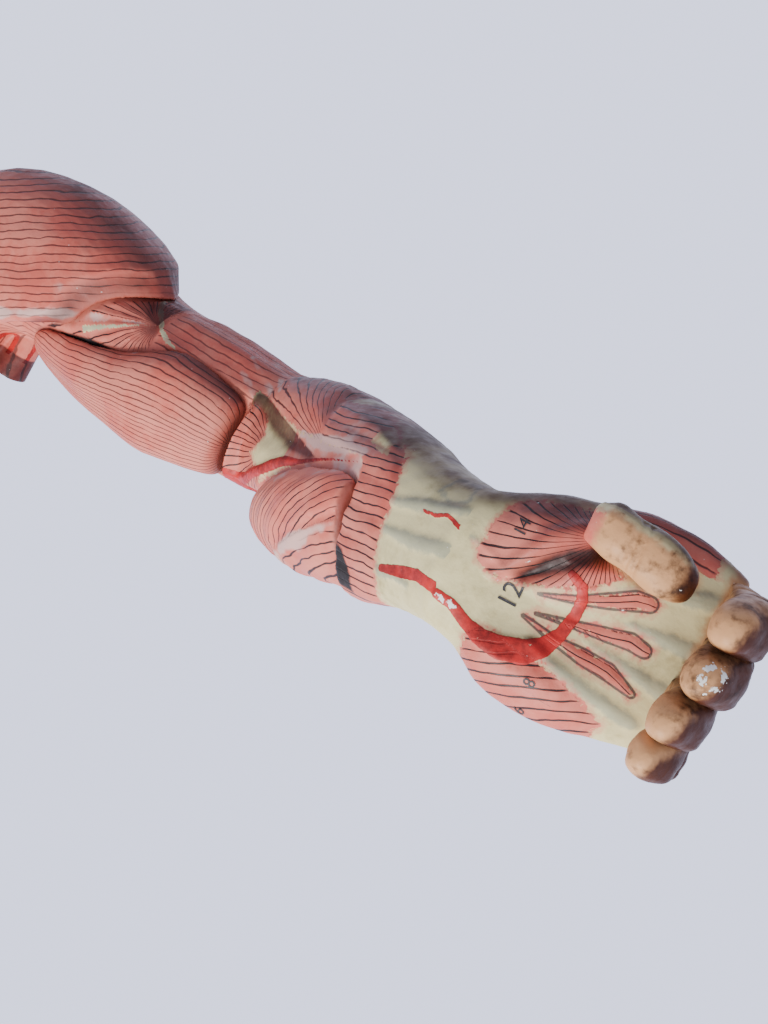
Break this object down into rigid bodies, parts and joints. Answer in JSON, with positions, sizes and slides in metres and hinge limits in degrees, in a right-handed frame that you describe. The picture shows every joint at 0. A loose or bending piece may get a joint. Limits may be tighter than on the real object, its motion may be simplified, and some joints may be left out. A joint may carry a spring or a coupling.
{
  "type": "anatomical arm muscle model",
  "caption": "Painted plaster teaching model of a life-size left human arm, palm side, with lift-off deltoid, biceps and flexor muscles.",
  "frame": {"origin": "centre of the mounting stud on the outer face of the shoulder plate", "axes": "-X out along the stud, +X lateral away from the body, -Y the palm side, -Z down the hanging upper arm"},
  "size_m": [0.2288, 0.2623, 0.6431],
  "materials": {
    "muscle_plaster": "satin",
    "tendon_plaster": "satin",
    "skin_plaster": "satin",
    "pin_brass": "satin",
    "inner_steel": "matte",
    "fitting_steel": "satin"
  },
  "bodies": {
    "arm": {"upper_arm_core": "muscle_plaster", "forearm_core": "tendon_plaster", "palm": "tendon_plaster", "thumb": "skin_plaster", "index_finger": "skin_plaster", "middle_finger": "skin_plaster", "ring_finger": "skin_plaster", "little_finger": "skin_plaster", "deltoid_sockets": "pin_brass", "biceps_sockets": "pin_brass", "flexor_sockets": "pin_brass", "humerus_rod": "inner_steel", "radius_rod": "inner_steel", "ulna_rod": "inner_steel", "finger_wires": "inner_steel", "thumb_wire": "inner_steel", "shoulder_plate": "fitting_steel", "shoulder_stud": "fitting_steel", "plate_screws": "fitting_steel"},
    "deltoid_cap": {"deltoid": "muscle_plaster", "deltoid_pins": "pin_brass"},
    "biceps_muscle": {"biceps": "muscle_plaster", "biceps_pins": "pin_brass"},
    "flexor_muscle": {"flexor_group": "muscle_plaster", "flexor_pins": "pin_brass"}
  },
  "joints": [
    {"name": "deltoid_lift", "type": "slide", "parent": "arm", "child": "deltoid_cap", "axis": [0.6998, -0.5998, 0.3879], "range_m": [0, 0.12]},
    {"name": "biceps_lift", "type": "slide", "parent": "arm", "child": "biceps_muscle", "axis": [0, -1, 0], "range_m": [0, 0.06]},
    {"name": "flexor_lift", "type": "slide", "parent": "arm", "child": "flexor_muscle", "axis": [-0.8733, -0.4184, 0.2495], "range_m": [0, 0.06]}
  ]
}
